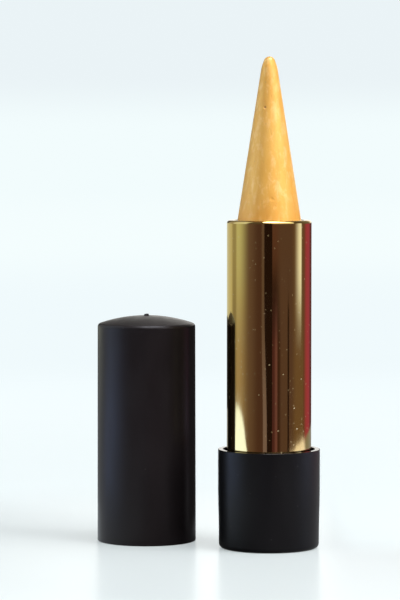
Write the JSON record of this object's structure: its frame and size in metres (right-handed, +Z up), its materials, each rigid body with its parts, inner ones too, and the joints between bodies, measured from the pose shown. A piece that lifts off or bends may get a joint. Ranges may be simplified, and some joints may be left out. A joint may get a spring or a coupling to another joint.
{
  "type": "twist-up kohl stick container",
  "caption": "Round lipstick-style twist-up case in black and gold, open, with its kohl cone wound out and its cap standing beside it.",
  "frame": {"origin": "middle of the base's underside, on the stick's own axis, at the height of the surface that it stands on", "axes": "+Z up along the stick's axis, -Y towards the viewer of the picture, +X to the viewer's right; the cap stands at -X and +Y"},
  "size_m": [0.0426, 0.0296, 0.093],
  "materials": {
    "black_plastic": "fine matt, faint soft sheen",
    "cap_plastic": "fine matt, faint soft sheen",
    "label_paper": "smooth, uncoated, blank",
    "guide_plastic": "as moulded",
    "brake_rubber": "smooth silicone",
    "gold_metal": "bright gold anodised, mirror polish",
    "cam_plastic": "natural acetal, as moulded",
    "cup_plastic": "as moulded",
    "kohl": "smooth wax with fine pearl"
  },
  "bodies": {
    "base": {"base_shell": "black_plastic", "base_label": "label_paper", "guide_body": "guide_plastic", "brake_ring": "brake_rubber"},
    "tube": {"gold_tube": "gold_metal", "cam_sleeve": "cam_plastic"},
    "carrier": {"carrier_cup": "cup_plastic", "kohl_stick": "kohl"},
    "cap": {"cap_shell": "cap_plastic"}
  },
  "joints": [
    {"name": "twist", "type": "hinge", "parent": "base", "child": "tube", "pos_m": [0, 0, 0.03], "axis": [0, 0, 1], "range_deg": [0, 540]},
    {"name": "kohl_rise", "type": "slide", "parent": "base", "child": "carrier", "axis": [0, 0, 1], "range_m": [-0.03301, 0]},
    {"name": "cap_lift", "type": "slide", "parent": "base", "child": "cap", "axis": [0, 0, 1], "range_m": [0, 0.0414]}
  ],
  "couplings": [
    {"joint": "kohl_rise", "follows": "twist", "m_per_rad": -0.0035014}
  ]
}
